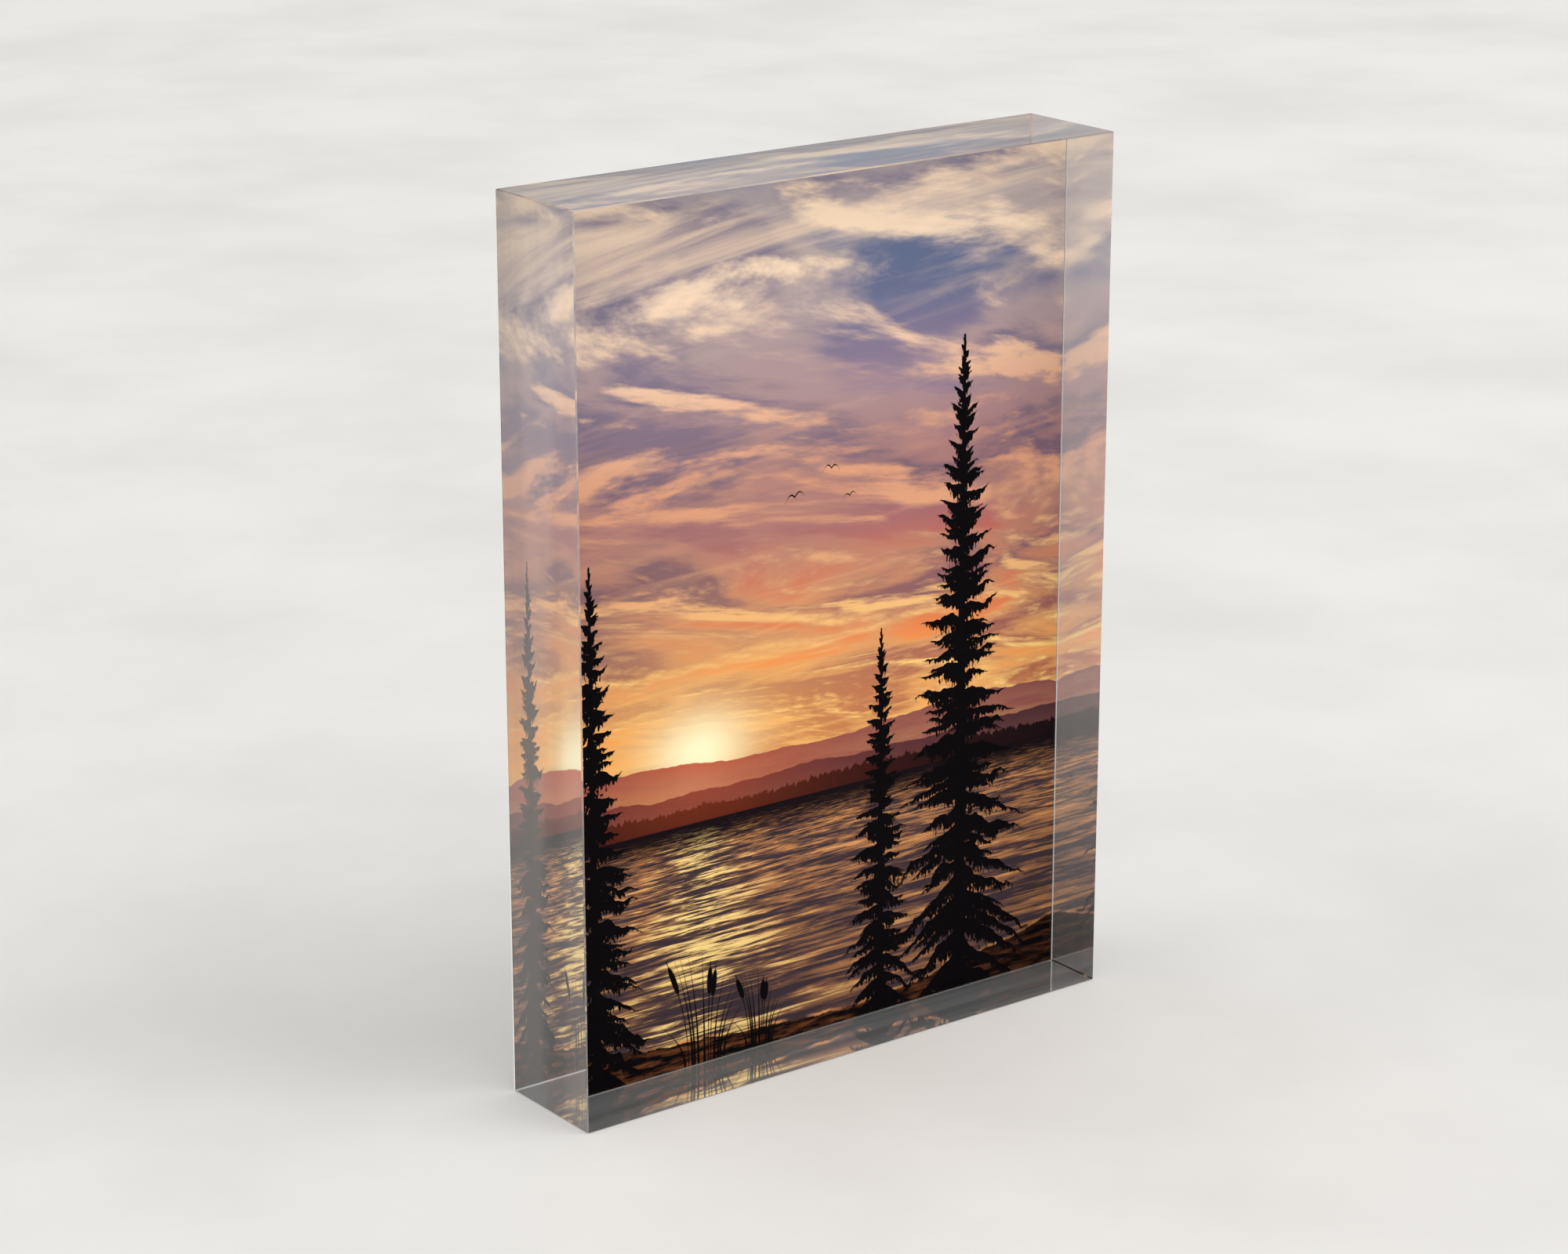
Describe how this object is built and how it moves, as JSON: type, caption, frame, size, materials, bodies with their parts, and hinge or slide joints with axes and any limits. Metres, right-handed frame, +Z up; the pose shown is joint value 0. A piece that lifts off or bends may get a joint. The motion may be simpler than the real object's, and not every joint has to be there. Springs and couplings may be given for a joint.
{
  "type": "acrylic photo block",
  "caption": "Thick clear acrylic block that stands on its own base and shows a photo print bonded face first to its back",
  "frame": {"origin": "the centre of the block's base face, on which the part stands", "axes": "+X to the right as one faces the picture, +Y from the viewer into the block, +Z up; the picture faces -Y"},
  "size_m": [0.127, 0.0255, 0.1778],
  "materials": {
    "clear_acrylic": "clear cast acrylic, polished faces and edges",
    "clear_adhesive": "optically clear adhesive film",
    "printed_paper": "glossy photo paper with a printed picture",
    "white_backing": "fine matt white plastic sheet"
  },
  "bodies": {
    "root": {"acrylic_block": "clear_acrylic", "clear_mounting_film": "clear_adhesive", "photo_print": "printed_paper", "backing_adhesive": "clear_adhesive", "backing_sheet": "white_backing"}
  },
  "joints": []
}
